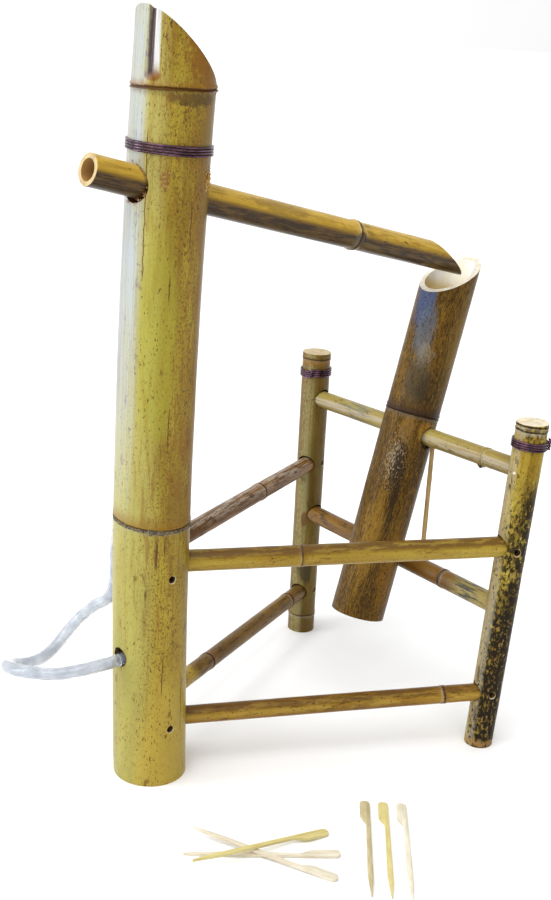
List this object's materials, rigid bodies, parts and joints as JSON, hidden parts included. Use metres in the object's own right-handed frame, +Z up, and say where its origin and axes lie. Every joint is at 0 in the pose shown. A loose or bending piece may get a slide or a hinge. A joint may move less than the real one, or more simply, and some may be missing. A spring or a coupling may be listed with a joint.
{
  "type": "bamboo water spout",
  "caption": "Garden water feature: a hose-fed bamboo spout on a post pours into a tipping bamboo tube hung on an axle bar in a braced frame.",
  "frame": {"origin": "on the ground under the middle of the object's box, measured without the hose's free tail", "axes": "+Z up; +X from the main post towards the middle of the two short posts; +Y towards the rear short post"},
  "size_m": [0.5626, 0.5024, 0.76],
  "materials": {
    "old_culm": "aged glossy bamboo, brown and mottled",
    "olive_culm": "glossy bamboo, olive with dark mottling",
    "golden_culm": "glossy golden bamboo",
    "brown_cane": "satin brown bamboo cane",
    "gold_cane": "satin golden bamboo cane",
    "peg_wood": "bare split bamboo",
    "copper_wire": "tarnished copper wire",
    "clear_hose": "clear flexible vinyl"
  },
  "bodies": {
    "stand": {"main_post": "old_culm", "front_short_post": "olive_culm", "rear_short_post": "olive_culm", "spout": "golden_culm", "upper_front_rail": "gold_cane", "lower_front_rail": "brown_cane", "upper_rear_rail": "brown_cane", "lower_rear_rail": "brown_cane", "axle_bar": "gold_cane", "stop_bar": "gold_cane", "keeper_stick": "brown_cane", "axle_dowel": "peg_wood", "main_post_binding": "copper_wire", "front_post_binding": "copper_wire", "rear_post_binding": "copper_wire", "hose_riser": "clear_hose", "hose_tail": "clear_hose", "peg_1": "peg_wood", "peg_2": "peg_wood", "peg_3": "peg_wood", "peg_4": "peg_wood", "peg_5": "peg_wood", "peg_6": "peg_wood"},
    "rocker": {"rocker_tube": "olive_culm"}
  },
  "joints": [
    {"name": "rocker_tip", "type": "hinge", "parent": "stand", "child": "rocker", "pos_m": [0.18088, 0.06904, 0.31674], "axis": [-0.0187, 0.9998, -0.0106], "range_deg": [0, 80]}
  ]
}
